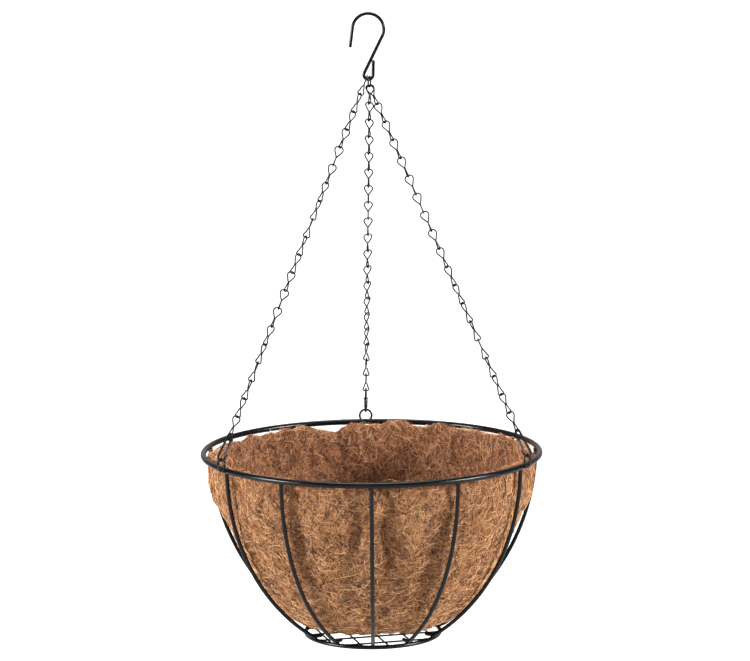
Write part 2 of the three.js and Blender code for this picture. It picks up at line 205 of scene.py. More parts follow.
def wire(path, diameter, sides, closed=False, dome=0.0):
    """A round wire along the path. Open ends are domed, dome times the radius deep."""
    path = np.asarray(path, float)
    radii = np.broadcast_to(np.asarray(diameter, float) / 2, len(path)).astype(float)
    tangents, normals, others = path_frames(path, closed)
    if not closed:
        start = [path[0] - tangents[0] * radii[0] * dome * math.sin(a) for a in DOME_RINGS]
        end = [path[-1] + tangents[-1] * radii[-1] * dome * math.sin(a) for a in DOME_RINGS[::-1]]
        path = np.concatenate([start, path, end])
        shrink = np.cos(DOME_RINGS)
        radii = np.concatenate([radii[0] * shrink, radii, radii[-1] * shrink[::-1]])
        pad = (len(start), len(end))
        normals = np.pad(normals, (pad, (0, 0)), "edge")
        others = np.pad(others, (pad, (0, 0)), "edge")
    around = 2 * math.pi * np.arange(sides)[None, :, None] / sides
    spokes = normals[:, None] * np.cos(around) + others[:, None] * np.sin(around)
    verts = (path[:, None] + spokes * radii[:, None, None]).reshape(-1, 3)
    if not closed:
        poles = [path[0] - tangents[0] * radii[0] * dome * POLE_HEIGHT,
                 path[-1] + tangents[-1] * radii[-1] * dome * POLE_HEIGHT]
        verts = np.concatenate([verts, poles])
    quads, tris = tube_faces(len(path), sides, closed)
    return verts, quads, tris


def plate(outline, holes, low, high):
    """A plate drawn across and up, standing between two places on Y, with its sharp edges bevelled."""
    bm = bmesh.new()
    edges = []
    for loop in [outline] + holes:
        ring = [bm.verts.new((x, z, low)) for x, z in loop]
        edges += [bm.edges.new((ring[i], ring[(i + 1) % len(ring)])) for i in range(len(ring))]
    bmesh.ops.triangle_fill(bm, use_beauty=True, edges=edges)
    extruded = bmesh.ops.extrude_face_region(bm, geom=list(bm.faces))
    moved = [g for g in extruded["geom"] if isinstance(g, bmesh.types.BMVert)]
    bmesh.ops.translate(bm, verts=moved, vec=(0, 0, high - low))
    bmesh.ops.recalc_face_normals(bm, faces=bm.faces)
    sharp = [e for e in bm.edges if len(e.link_faces) == 2 and e.calc_face_angle() > SHARP]
    bmesh.ops.bevel(bm, geom=sharp, offset=GATE["bevel"], segments=2, affect="EDGES", profile=0.5)
    bmesh.ops.triangulate(bm, faces=bm.faces)
    verts = np.array([v.co for v in bm.verts])
    tris = np.array([[v.index for v in f.verts] for f in bm.faces])
    bm.free()
    # the faces come in another order each run, so they are put in order
    tris = np.array([np.roll(tri, -tri.argmin()) for tri in tris])
    tris = tris[np.lexsort(tris.T)]
    return verts[:, (0, 2, 1)], np.zeros((0, 4), int), tris[:, ::-1]


def joined(parts):
    """Several parts as one: their points, their four-sided faces and their three-sided faces."""
    verts, quads, tris, offset = [], [], [], 0
    for v, q, t in parts:
        verts.append(v)
        quads.append(q + offset)
        tris.append(t + offset)
        offset += len(v)
    return np.concatenate(verts), np.concatenate(quads), np.concatenate(tris)


def placed(part, matrix):
    """The part with its points moved by a 4x4 matrix in millimetres."""
    verts, quads, tris = part
    m = np.array(matrix)
    return verts @ m[:3, :3].T + m[:3, 3], quads, tris


def bulk_mesh(name, part, indices=None):
    """A smooth Blender mesh from a part in millimetres, with a material number for each face."""
    verts, quads, tris = part
    mesh = bpy.data.meshes.new(name)
    mesh.vertices.add(len(verts))
    mesh.vertices.foreach_set("co", (verts * MM).astype(np.float32).ravel())
    loops = np.concatenate([quads.ravel(), tris.ravel()]).astype(np.int32)
    starts = np.concatenate([np.arange(len(quads)) * 4, len(quads) * 4 + np.arange(len(tris)) * 3])
    mesh.loops.add(len(loops))
    mesh.loops.foreach_set("vertex_index", loops)
    mesh.polygons.add(len(starts))
    mesh.polygons.foreach_set("loop_start", starts.astype(np.int32))
    if indices is not None:
        mesh.polygons.foreach_set("material_index", indices.astype(np.int32))
    mesh.polygons.foreach_set("use_smooth", np.ones(len(starts), bool))
    mesh.update(calc_edges=True)
    mesh.validate()
    return mesh


def add_piece(name, part, materials, body, nodes=(), indices=None):
    """A piece that rides on a body and is shown in place of the CAD nodes."""
    mesh = bulk_mesh(name, part, indices)
    for material in materials:
        mesh.materials.append(material)
    piece = bpy.data.objects.new(name, mesh)
    bpy.context.scene.collection.objects.link(piece)
    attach(piece, body)
    if nodes:
        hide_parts(*nodes)
    return piece


# ---------- materials

# A noise call gives the bumps per metre and the detail. A ramp's stops are noise values and colours.


def linear(red, green, blue):
    """An sRGB colour, 0 to 255, as linear numbers."""
    def channel(value):
        value /= 255
        return value / 12.92 if value <= 0.04045 else ((value + 0.055) / 1.055) ** 2.4
    return channel(red), channel(green), channel(blue), 1.0


class Nodes:
    """Short calls for building one material's node tree."""

    def __init__(self, name):
        self.material = bpy.data.materials.new(name)
        self.material.use_nodes = True
        self.tree = self.material.node_tree
        self.shader = self.tree.nodes["Principled BSDF"]
        self.place = self.tree.nodes.new("ShaderNodeTexCoord").outputs["Object"]

    def feed(self, socket, value):
        """Links the socket to another node's output, or sets it."""
        if isinstance(value, bpy.types.NodeSocket):
            self.tree.links.new(value, socket)
        else:
            socket.default_value = value

    def new(self, kind, inputs=None, **settings):
        node = self.tree.nodes.new(kind)
        for key, value in settings.items():
            setattr(node, key, value)
        for key, value in (inputs or {}).items():
            self.feed(node.inputs[key], value)
        return node

    def noise(self, scale, detail=2.0, distortion=0.0, vector=None, roughness=0.5):
        inputs = {"Vector": vector or self.place, "Scale": scale, "Detail": detail,
                  "Distortion": distortion, "Roughness": roughness}
        return self.new("ShaderNodeTexNoise", inputs).outputs["Fac"]

    def shifted(self, offset):
        return self.new("ShaderNodeVectorMath", {0: self.place, 1: offset}, operation="ADD").outputs[0]

    def maths(self, operation, first, second=0.0):
        return self.new("ShaderNodeMath", {0: first, 1: second}, operation=operation).outputs[0]

    def ramp(self, value, stops):
        node = self.new("ShaderNodeValToRGB", {"Fac": value})
        elements = node.color_ramp.elements
        while len(elements) < len(stops):
            elements.new(0.5)
        for element, (position, colour) in zip(elements, stops):
            element.position = position
            element.color = colour
        return node.outputs["Color"]

    def mix(self, factor, first, second):
        return self.new("ShaderNodeMix", {0: factor, 6: first, 7: second}, data_type="RGBA").outputs[2]

    def bump(self, height, distance, strength=1.0, normal=None):
        inputs = {"Height": height, "Distance": distance, "Strength": strength}
        if normal is not None:
            inputs["Normal"] = normal
        return self.new("ShaderNodeBump", inputs).outputs["Normal"]

    def finish(self, **values):
        for key, value in values.items():
            self.feed(self.shader.inputs[key.replace("_", " ").title().replace("Ior", "IOR")], value)
        return self.material


def grey(level):
    """A plain level, as a colour."""
    return (level, level, level, 1)


def black_coat_material():
    """Satin powder coat: fine orange peel, uneven gloss, dust in places and a few chips down to steel."""
    n = Nodes("black_coat")
    colour = n.ramp(n.noise(35, 4), [(0.3, linear(5, 5, 6)), (0.7, linear(13, 13, 14))])
    chips = n.ramp(n.noise(900, 3, 0.4), [(0.735, grey(0)), (0.76, grey(1))])
    colour = n.mix(chips, colour, linear(84, 80, 76))
    gloss = n.ramp(n.noise(120, 5), [(0.3, grey(0.13)), (0.75, grey(0.24))])
    peel = n.bump(n.noise(2600, 2), 0.00012, 0.35)
    surface = n.bump(n.noise(420, 2), 0.0003, 0.12, peel)
    return n.finish(base_color=colour, roughness=gloss, metallic=0.0, normal=surface,
                    specular_ior_level=0.26)


def chain_coat_material():
    """Thinner, glossier black finish on chain wire, rubbed where the links bear on each other."""
    n = Nodes("chain_coat")
    colour = n.ramp(n.noise(180, 4), [(0.3, linear(4, 4, 5)), (0.75, linear(15, 15, 16))])
    rubbed = n.ramp(n.noise(620, 3), [(0.66, grey(0)), (0.72, grey(1))])
    colour = n.mix(rubbed, colour, linear(78, 76, 74))
    gloss = n.ramp(n.noise(260, 4), [(0.3, grey(0.28)), (0.8, grey(0.45))])
    surface = n.bump(n.noise(3000, 2), 0.00008, 0.3)
    return n.finish(base_color=colour, roughness=gloss, metallic=0.2, normal=surface,
                    specular_ior_level=0.3)


def clip_steel_material(name, dark, light):
    """Spring steel with drawn lines along the wire and brighter rubbed patches."""
    n = Nodes(name)
    stretched = n.new("ShaderNodeMapping", {"Vector": n.place, "Scale": (3000, 3000, 260)}).outputs[0]
    lines = n.noise(1.0, 3, vector=stretched)
    colour = n.ramp(n.noise(220, 4), [(0.25, dark), (0.75, light)])
    colour = n.mix(n.ramp(lines, [(0.45, grey(0)), (0.8, grey(0.5))]), colour, linear(112, 110, 108))
    gloss = n.ramp(n.noise(400, 4), [(0.3, grey(0.26)), (0.8, grey(0.42))])
    surface = n.bump(lines, 0.0001, 0.3)
    return n.finish(base_color=colour, roughness=gloss, metallic=0.85, normal=surface)


def strands(n, scale, width, offset):
    """Thin curved lines, where a smooth noise crosses its middle value."""
    value = n.noise(scale, 1.2, 1.4, n.shifted(offset))
    away = n.maths("ABSOLUTE", n.maths("SUBTRACT", value, 0.5))
    return n.ramp(away, [(0.0, grey(1)), (width, grey(0.55)), (width * 2.2, grey(0))])


def coir_mat_material(name, pit_shade, dark, middle, light, strand):
    """Matted fibre: a pitted ground, with painted shade in its pits and hollows, under several layers of thin
    curved strands.
    """
    n = Nodes(name)
    drift = n.noise(14, 3)
    grain = n.noise(330, 5, 0.8, roughness=0.7)
    # The grain's lowest values are also the bump's hollows, and they take the pit colour: painted shade.
    ground = n.ramp(grain, [(0.36, pit_shade), (0.46, dark), (0.56, middle), (0.70, light)])
    ground = n.mix(n.ramp(drift, [(0.3, grey(0.0)), (0.7, grey(0.25))]), ground, middle)
    layers = [strands(n, 95, 0.022, (0.31, 0.17, 0.05)), strands(n, 150, 0.028, (1.7, 0.4, 2.2)),
              strands(n, 230, 0.034, (4.1, 3.3, 0.8))]
    web = n.maths("MAXIMUM", n.maths("MAXIMUM", layers[0], layers[1]), layers[2])
    raised = n.maths("MULTIPLY", web, 0.6)
    colour = n.mix(raised, ground, strand)
    # The pits are sunk in the bump and take the pit colour as painted shade.
    pits = n.ramp(n.noise(400, 2, 0.3, n.shifted((2.0, 7.0, 1.0))), [(0.36, grey(0.9)), (0.41, grey(0))])
    colour = n.mix(pits, colour, pit_shade)
    sunk = n.maths("MULTIPLY", pits, 0.5)
    height = n.maths("ADD", raised, n.maths("SUBTRACT", grain, sunk))
    surface = n.bump(height, 0.0011, 0.9)
    return n.finish(base_color=colour, roughness=0.92, normal=surface, sheen_weight=0.04, sheen_roughness=0.6)


def fibre_material(name, colour):
    """Loose coir fibres of one shade: dry and slightly waxy."""
    n = Nodes(name)
    return n.finish(base_color=colour, roughness=0.62, sheen_weight=0.05, specular_ior_level=0.3)


BLACK_COAT = black_coat_material()
CHAIN_COAT = chain_coat_material()
CLIP_STEEL = clip_steel_material("clip_steel", linear(16, 16, 18), linear(44, 44, 46))
GATE_STEEL = clip_steel_material("gate_steel", linear(92, 92, 94), linear(150, 150, 150))
# The first colour given to each mat is the painted shade in its pits and hollows.
OUTER_MAT = coir_mat_material("coir_mat_outer", linear(54, 26, 12), linear(88, 49, 25), linear(140, 86, 48),
                              linear(186, 129, 79), linear(220, 166, 114))
INNER_MAT = coir_mat_material("coir_mat_inner", linear(46, 22, 11), linear(82, 44, 23), linear(132, 79, 46),
                              linear(176, 115, 72), linear(208, 149, 102))
OUTER_FIBRES = [fibre_material("coir_fibre_" + name, linear(*rgb)) for name, rgb in (
    ("straw", (244, 198, 148)), ("gold", (220, 163, 108)), ("honey", (188, 126, 75)),
    ("tan", (138, 82, 45)), ("bark", (74, 37, 18)))]
INNER_FIBRES = [fibre_material("coir_fibre_" + name, linear(*rgb)) for name, rgb in (
    ("pale", (236, 182, 136)), ("copper", (206, 145, 99)), ("russet", (166, 103, 65)),
    ("brown", (112, 62, 36)), ("umber", (54, 25, 13)))]


def add_frame_piece(node, part):
    """A coated piece of the welded frame, shown in place of its CAD node."""
    add_piece(node + "_wire", part, [BLACK_COAT], "basket_frame", [node])


# ---------- hook and joining link

EYE_Z = JOINTS["basket_swing"]["pos_m"][2] / MM + HOOK["eye"]
CROWN_Z = EYE_Z + HOOK["spread"]


def s_hook():
    """A round crown that runs in a straight shank to a small eye, with a straight tip and tail."""
    shank = math.degrees(math.asin((HOOK["crown"] + HOOK["eye"]) / HOOK["spread"]))
    crown = arc((0, CROWN_Z), HOOK["crown"], 180 - HOOK["tip_lean"], -shank, 60)
    eye = arc((0, EYE_Z), HOOK["eye"], 180 - shank, 360 - HOOK["tail_lean"], 36)
    lean, back = math.radians(HOOK["tip_lean"]), math.radians(HOOK["tail_lean"])
    tip = crown[0] - HOOK["tip"] * np.array([math.sin(lean), math.cos(lean)])
    tail = eye[-1] + HOOK["tail"] * np.array([math.sin(back), math.cos(back)])
    path = resampled(np.concatenate([[tip], crown, eye, [tail]]), 0.8)
    part = wire(upright(path), HOOK["wire"], 18, dome=0.45)
    add_piece("s_hook_wire", part, [BLACK_COAT], "s_hook", ["s_hook"])


def joint_place(name):
    """Where a joint is, in millimetres."""
    return np.array(JOINTS[name]["pos_m"]) / MM


def joining_link():
    """A stretched ring of wire, resting in the hook's eye, with the two hangers resting in it."""
    heads = [joint_place(side + "_hanger_link_swing") for side in ("back", "right")]
    middle = (heads[0] + heads[1]) / 2
    bottom = middle[2] - (JOINING["wire"] + LINK["wire"]) / 2
    top = EYE_Z - HOOK["eye"] + (HOOK["wire"] + JOINING["wire"]) / 2 + JOINING["play"]
    reach = (top - bottom) / 2 - JOINING["bend"]
    upper = arc((0, reach), JOINING["bend"], 0, 180, 24)
    lower = arc((0, -reach), JOINING["bend"], 180, 360, 24)
    split = np.array([[JOINING["bend"], -JOINING["split"] / 2]])
    outline = np.concatenate([split * (1, -1), upper, lower, split])
    part = wire(upright(resampled(outline, 0.4)), JOINING["wire"], 14, dome=0.3)
    stand = Matrix.Translation((middle[0], middle[1], (top + bottom) / 2)) @ \
        Matrix.Rotation(math.radians(JOINING["turn"]), 4, "Z")
    add_frame_piece("joining_link", placed(part, stand))


# ---------- welded frame

WAVES = {}


def waves(key, count):
    """Directions, lengths and phases of the plane waves that make one smooth noise."""
    if key not in WAVES:
        rng = np.random.default_rng(key)
        directions = rng.normal(size=(count, 3))
        directions /= np.linalg.norm(directions, axis=1)[:, None]
        WAVES[key] = directions * rng.uniform(0.65, 1.4, (count, 1)), rng.uniform(0, 2 * math.pi, count)
    return WAVES[key]


def smooth_noise(points, wavelength, key, count=14):
    """A smooth random field over points, about -1 to 1, with bumps one wavelength apart."""
    directions, phases = waves(key, count)
    return np.sin(points @ directions.T * (2 * math.pi / wavelength) + phases).sum(-1) / math.sqrt(count)


def weld_bead(centre, size, key):
    """A small lumpy bead of weld metal under the coating."""
    rows, columns = 7, 12
    polar = np.linspace(0, math.pi, rows + 2)[1:-1, None]
    around = (2 * math.pi * np.arange(columns) / columns)[None, :]
    ball = np.stack([np.sin(polar) * np.cos(around), np.sin(polar) * np.sin(around),
                     np.cos(polar) * np.ones_like(around)], -1).reshape(-1, 3)
    ball = np.concatenate([ball, [[0, 0, 1], [0, 0, -1]]])
    ball = ball * (1 + WELD_LUMPS["height"] * smooth_noise(ball, WELD_LUMPS["spacing"], key))[:, None]
    quads, tris = tube_faces(rows, columns)
    # the rows run downwards, so the faces are turned over
    return ball * np.array(size) + np.array(centre), quads[:, (0, 3, 2, 1)], tris[:, (1, 0, 2)]


def ring_wire(radius, diameter, z, seam, sides):
    """A bent ring of wire with the low bulge of its butt weld at the seam angle."""
    count = int(2 * math.pi * radius / RING_STEP)
    angles = 2 * math.pi * np.arange(count) / count
    path = np.stack([radius * np.cos(angles), radius * np.sin(angles), np.full(count, z)], 1)
    off_seam = np.abs((angles - math.radians(seam) + math.pi) % (2 * math.pi) - math.pi) * radius
    bulge = 1 + SEAM["bulge"] * np.exp(-(off_seam / SEAM["reach"])**2)
    return wire(path, diameter * bulge, sides, closed=True)


def rim_and_base():
    add_frame_piece("top_rim", ring_wire(RIM_RADIUS, RIM["wire"], RIM_Z, SEAM["rim_angle"], 20))
    add_frame_piece("base_ring", ring_wire(BASE_RADIUS, BASE["wire"], BASE_Z, SEAM["base_angle"], 16))


def cage_profile(sweep, bend, depth, top, foot, step):
    """Half-section of the cage: one large arc, a small turn at its foot, then level. (radius, height)."""
    centre = RIB["top_radius"] - RIB["sweep"]
    bend_centre = centre + math.sqrt((sweep - bend)**2 - (depth - bend)**2)
    turn = math.degrees(math.atan2(depth - bend, bend_centre - centre))
    side = arc((centre, 0), sweep, -math.degrees(math.asin(top / sweep)), -turn, 80)
    toe = arc((bend_centre, bend - depth), bend, -turn, -90, 24)[1:]
    return resampled(np.concatenate([side, toe, [[bend_centre - foot, -depth]]]), step)


def rib(number):
    """One rib with its flared weld under the rim and a bead of weld on the base ring."""
    depth = BASE_DEPTH - (BASE["wire"] + RIB["wire"]) / 2 + WELD_OVERLAP
    top = RIM["wire"] / 2 - RIB["into_rim"]
    profile = cage_profile(RIB["sweep"], RIB["foot_bend"], depth, top, RIB["foot_length"], 2.2)
    along = np.linalg.norm(profile - profile[0], axis=1)
    flare = 1 + RIB["flare"] * np.exp(-(along / RIB["flare_reach"])**2)
    foot = (BASE_RADIUS, 0, -depth - RIB["wire"] / 2 + WELD_OVERLAP / 2)
    part = joined([wire(upright(profile), RIB["wire"] * flare, 14, dome=0.75),
                   weld_bead(foot, WELD_BEAD["rib"], 40 + number)])
    angle = RIB_ANGLES[number]
    stand = Matrix.Translation((0, 0, RIM_Z)) @ Matrix.Rotation(math.radians(angle), 4, "Z")
    add_frame_piece(f"rib_{number + 1:02d}", placed(part, stand))


def grid_wires():
    """Two layers of straight wires across the base ring, welded to its inside and to each other."""
    rng = np.random.default_rng(7)
    layers = (("a", GRID["turn"], GRID["rise"]), ("b", GRID["turn"] + 90, -GRID["rise"]))
    for family, turn, rise in layers:
        for i in range(GRID["per_family"]):
            offset = (i - (GRID["per_family"] - 1) / 2) * GRID["pitch"]
            half = math.sqrt((BASE_RADIUS - GRID["into_ring"])**2 - offset**2)
            x = np.linspace(-half, half, 40)
            bow = rng.normal(0, GRID["bow"]) * np.cos(x / half * math.pi / 2)
            path = np.stack([x, offset + bow, np.zeros_like(x)], 1)
            flare = 1 + GRID["flare"] * np.exp(-((half - np.abs(x)) / GRID["flare_reach"])**2)
            part = wire(path, GRID["wire"] * flare, 10, dome=0.6)
            stand = Matrix.Translation((0, 0, BASE_Z + rise)) @ Matrix.Rotation(math.radians(turn), 4, "Z")
            add_frame_piece(f"grid_wire_{family}{i + 1}", placed(part, stand))


# ---------- strands


def strand_frame(side):
    """The strand's own axes as a matrix: X out of the basket, Y across, Z up the chain. And its length."""
    foot = Vector(joint_place(side + "_strand_fold"))
    head = Vector(joint_place(side + "_hanger_link_swing"))
    up = (head - foot).normalized()
    across = Vector(JOINTS[side + "_strand_fold"]["axis"]).normalized()
    out = across.cross(up)
    matrix = Matrix((out, across, up)).transposed().to_4x4()
    matrix.translation = foot
    return matrix, (head - foot).length


def rim_ring(side):
    """The small ring that stands on the rim's outside, with a bead of weld at each place it touches."""
    low, high = corners("rim_ring_" + side)
    centre = (low + high) / 2
    angle = math.atan2(centre[1], centre[0])
    count = 64
    turn = 2 * math.pi * np.arange(count) / count
    ring = np.stack([np.zeros(count), RING["radius"] * np.cos(turn), RING["radius"] * np.sin(turn)], 1)
    drop = RIM_Z - centre[2]
    reach = math.sqrt(RING["radius"]**2 - drop**2)
    contact = (RIM_RADIUS + RIM["wire"] / 2) - math.hypot(centre[0], centre[1]) + WELD_OVERLAP
    beads = [weld_bead((contact, sign * reach, drop), WELD_BEAD["rim_ring"], 60 + sign) for sign in (-1, 1)]
    part = joined([wire(ring, RING["wire"], 14, closed=True)] + beads)
    stand = Matrix.Translation(centre) @ Matrix.Rotation(angle, 4, "Z")
    add_frame_piece("rim_ring_" + side, placed(part, stand))


CLIP_RISE = (RING["wire"] + CLIP["wire"]) / 2
BOW = (CLIP["bow_shift"], CLIP["bow"] - CLIP_RISE - CLIP["play"])
EYE = (0.0, CLIP["height"] - CLIP["eye"])
HINGE = (-CLIP["eye"] - CLIP["hinge_reach"], CLIP["hinge"])


def clip(side, matrix):
    """One bent wire: nose, bow under the rim ring, back, eye and the end that holds the hinge pin."""
    bow = arc(BOW, CLIP["bow"], 180, 360, 36)
    eye = arc(EYE, CLIP["eye"], 0, 180, 24)
    nose = [[bow[0][0] - CLIP["nose_lean"], bow[0][1] + CLIP["nose"]]]
    end = [[HINGE[0], HINGE[1] - CLIP["end"]]]
    body = wire(upright(resampled(np.concatenate([nose, bow, eye, end]), 0.5)), CLIP["wire"], 14, dome=0.7)
    half = GATE["width"] / 2 + PIN["overhang"]
    head, neck = half - PIN["head_length"], half - PIN["head_length"] - PIN["step"]
    across = np.array([-half, -head, -neck, neck, head, half])
    heads = PIN["wire"] * np.array([PIN["head"], PIN["head"], 1.0, 1.0, PIN["head"], PIN["head"]])
    pin = wire(np.stack([np.full(6, HINGE[0]), across, np.full(6, HINGE[1])], 1), heads, 12, dome=0.4)
    name = "clip_" + side
    add_piece(name + "_wire", placed(joined([body, pin]), matrix), [CLIP_STEEL], name, [name])


def gate(side, matrix):
    """A stamped channel: a long tongue that rests inside the nose, and two ears on the hinge pin."""
    inside = BOW[0] - CLIP["bow"] - CLIP["nose_lean"] + CLIP["wire"] / 2 + CLIP["play"]
    shoulder = HINGE[1] - GATE["tongue_top"]
    toe = shoulder - EAR["drop"]
    tongue = [(inside, GATE["tip"]), (inside + GATE["plate"], GATE["tip"]),
              (HINGE[0] + EAR["reach"], shoulder), (HINGE[0] + GATE["slant"], shoulder)]
    ear = [(HINGE[0] - EAR["heel"], HINGE[1]), (HINGE[0] - EAR["toe"], toe), (HINGE[0] + EAR["reach"], toe)]
    ear += [tuple(p) for p in arc(HINGE, EAR["reach"], 0, 180, 12)]
    hole = [tuple(p) for p in arc(HINGE, PIN["wire"] / 2 + PIN["play"], 360, 30, 11)]
    half = GATE["width"] / 2 - GATE["edge"]
    near = CLIP["wire"] / 2 + EAR["gap"]
    far = near + EAR["plate"]
    parts = [plate(tongue, [], -half, half), plate(ear, [hole], near, far), plate(ear, [hole], -far, -near)]
    name = "clip_gate_" + side
    part = placed(joined(parts), matrix)
    piece = add_piece(name + "_plate", part, [GATE_STEEL], name, [name])
    for polygon in piece.data.polygons:
        polygon.use_smooth = False


def link_path(length):
    """A figure-eight link: a broad upper loop and, a quarter turn round, a narrower lower loop."""
    w, low = LINK["half_width"], LINK["lower_half_width"]
    waist = length * LINK["waist"]
    shoulder = length - LINK["crown"]
    neck = waist + LINK["neck"] * (shoulder - waist)
    head = shoulder + LINK["head"] * LINK["crown"]
    calf = LINK["calf"] * waist
    foot, toe = LINK["foot"], LINK["toe"]
    upper = [(-0.85, 0.2, waist + 0.6), (-0.55 * w, 0, neck), (-w, 0, shoulder), (-0.7 * w, 0, head),
             (0, 0, length), (0.7 * w, 0, head), (w, 0, shoulder), (0.5 * w, 0, neck),
             (0.75, 0.35, waist + 0.7)]
    lower = [(0.1, 0.9, waist - 1.0), (0, 0.62 * low, calf), (0, low, foot), (0, 0.6 * low, toe), (0, 0, 0),
             (0, -0.6 * low, toe), (0, -low, foot), (0, -0.65 * low, calf), (-0.15, -1.1, waist - 1.0)]
    return rounded(upper + lower, 4)


def chain(side, matrix, length):
    """A strand's links in their sections, each hanging in the next, turning as they go up."""
    start = CLIP["height"] - (LINK["wire"] + CLIP["wire"]) / 2 + CLIP["play"] - LINK["play"]
    total = sum(LINKS[side])
    twist, ease = TWIST[side]
    pitch_loss = LINK["wire"] - LINK["press"]
    link_length = (length - start + (total - 1) * pitch_loss) / total
    path = link_path(link_length)
    index = 0
    for section, count in enumerate(LINKS[side]):
        parts = []
        for _ in range(count):
            turn = math.radians(twist * (1 - (1 - index / (total - 1))**ease))
            rise = start + index * (link_length - pitch_loss)
            stand = matrix @ Matrix.Translation((0, 0, rise)) @ Matrix.Rotation(turn, 4, "Z")
            parts.append(placed(wire(path, LINK["wire"], 8, closed=True), stand))
            index += 1
        hanger = section == len(LINKS[side]) - 1
        name = f"hanger_link_{side}" if hanger else f"chain_{side}_{section + 1}"
        add_piece(name + "_links", joined(parts), [CHAIN_COAT], name, [name])


# ---------- coir liner

LINER = {"thickness": 9.0, "clearance": 4.5, "depth": 177.0, "bend": 34.0, "top": 5.0,
         "edge_share": 0.78, "edge_reach": 25.0, "calm_radius": 30.0, "folds_end": 150.0, "folds_fade": 30.0}
HALF = LINER["thickness"] / 2
# Nearer the axis than this, a turn is measured as if it were here; and how near fibres come to it.
LEAST_RADIUS = {"fold": 20.0, "fibre": 9.0}
AXIS_GAP = 4.0


def liner_section():
    """The middle of the liner's thickness from its top edge to the basket's axis, with outward normals."""
    sweep = RIB["sweep"] - RIB["wire"] / 2 - LINER["clearance"] - HALF
    section = cage_profile(sweep, LINER["bend"] - HALF, LINER["depth"] - HALF, LINER["top"], 0, 1.0)
    section = resampled(np.concatenate([section, [[0, section[-1, 1]]]]), 1.0)
    along = np.gradient(section, axis=0)
    along /= np.linalg.norm(along, axis=1)[:, None]
    normals = np.stack([-along[:, 1], along[:, 0]], 1)
    lengths = np.concatenate([[0], np.cumsum(np.linalg.norm(np.diff(section, axis=0), axis=1))])
    return section, normals, along, lengths


SECTION, NORMALS, ALONG, LENGTHS = liner_section()
LAST = LENGTHS[-1]
EDGE = math.pi * HALF
WHOLE = 2 * LAST + EDGE

# The top edge's dips and crests: angle round the basket, rise in millimetres, half-width in degrees.
EDGE_SHAPE = ((106, -6.5, 6.5), (132, -1.5, 6), (119, 2.4, 5), (70, -1.5, 4.5), (80, 4.0, 5), (62, 2.8, 6),
              (97, 2.0, 4), (150, -2.5, 8), (35, 0.5, 9), (12, 2.5, 9), (190, 5.2, 10), (215, 0.5, 7),
              (240, -0.5, 8), (262, -1.5, 7), (284, -0.5, 7), (305, -1.5, 6), (330, 1.5, 8))
# The edge's small ripples: height, how many go round the basket, and phase.
EDGE_RIPPLES = ((0.7, 23, 1), (0.5, 41, 0))
# Pleats beside the ribs: angle at the top, lean in degrees over "lean_over", depth and half-width
# in millimetres, and where down the side the pleat begins to deepen, is deepest and ends.
PLEAT = {"lean_over": 150.0, "top_share": 0.25, "far_side": 2.6}
PLEAT_WANDER = ((1.6, 17.0, 1), (0.8, 7.3, 2))
PLEATS = ((-86.0, 2.5, -7.0, 5.0, -10, 50, 160), (-64.5, -2.5, -6.5, 5.0, 0, 80, 170),
          (-118.0, 2.0, -6.5, 5.0, -10, 60, 165), (-56.0, 1.0, -3.0, 3.0, 20, 50, 90),
          (-145.0, 1.5, -4.6, 3.5, 0, 70, 170), (-33.0, -1.5, -4.0, 3.5, 20, 90, 170),
          (-94.5, -1.5, -3.6, 3.5, 0, 50, 140), (-125.5, -1.5, -2.4, 4.0, 30, 90, 150),
          (-3.0, 1.5, -3.0, 4.0, 0, 50, 140), (33.0, -2.0, -2.6, 5.0, 0, 55, 150),
          (58.0, 2.0, -2.4, 5.0, 0, 60, 150), (94.0, -2.5, -3.4, 5.0, 0, 50, 160),
          (123.0, 2.0, -2.6, 5.0, 0, 60, 150), (147.0, 2.0, -2.4, 4.0, 0, 70, 150),
          (176.0, -2.0, -2.8, 5.0, 10, 60, 150), (-171.0, 2.0, -2.0, 5.0, 10, 60, 150))
# How far the liner stands out in each gap between ribs, counted round from the front rib: high up,
# and lower down, where some sag inwards. Each band is its middle and its reach down the side.
BULGES = (4.0, 3.4, 7.0, 7.0, 3.0, 3.4, 2.6, 3.6, 7.0, 8.0, 3.6, 3.2)
SAGS = (1.5, -1.0, -7.0, -8.0, -1.5, 0.5, -1.0, 0.5, -4.0, -7.5, -0.5, 1.5)
BULGE_BAND = (24, 36)
SAG_BAND = (78, 42)
# Layers of unevenness: height, spacing, shift and key of the noise.
BROAD_SWELLS = ((0.9, 62, 0, 1),)
SMALL_SWELLS = ((0.6, 24, 0, 2),)
LUMPS = ((0.45, 9.5, 50, 3), (0.3, 5.2, 80, 4), (0.5, 15, 20, 5))
# The most a fold stands out: at a rib, and how much more per millimetre beside it; and at places
# down the side, because the top lifts through the rim.
RIB_LIMIT = (2.0, 0.28)
RIM_LIMIT = ((20, 60), (3.8, 12.0))


def turn_from(angles, origin):
    """The turn from the origin to each angle, between half a turn back and half a turn on."""
    return (angles - origin + math.pi) % (2 * math.pi) - math.pi


def bell(value, width):
    """One at zero, fading smoothly over about the width."""
    return np.exp(-(value / width)**2)


def nearest_rib(angle):
    """The angle of the evenly spaced rib nearest to an angle."""
    spacing = 360 / RIB["count"]
    return round(angle / spacing) * spacing


def ribs_passed(phi):
    """How many ribs lie between the front rib and the angle, with the part of the last gap."""
    turns = np.radians(np.array(RIB_ANGLES + [270.0]) + 90)
    return np.interp((phi + math.pi / 2) % (2 * math.pi), turns, np.arange(len(turns)))


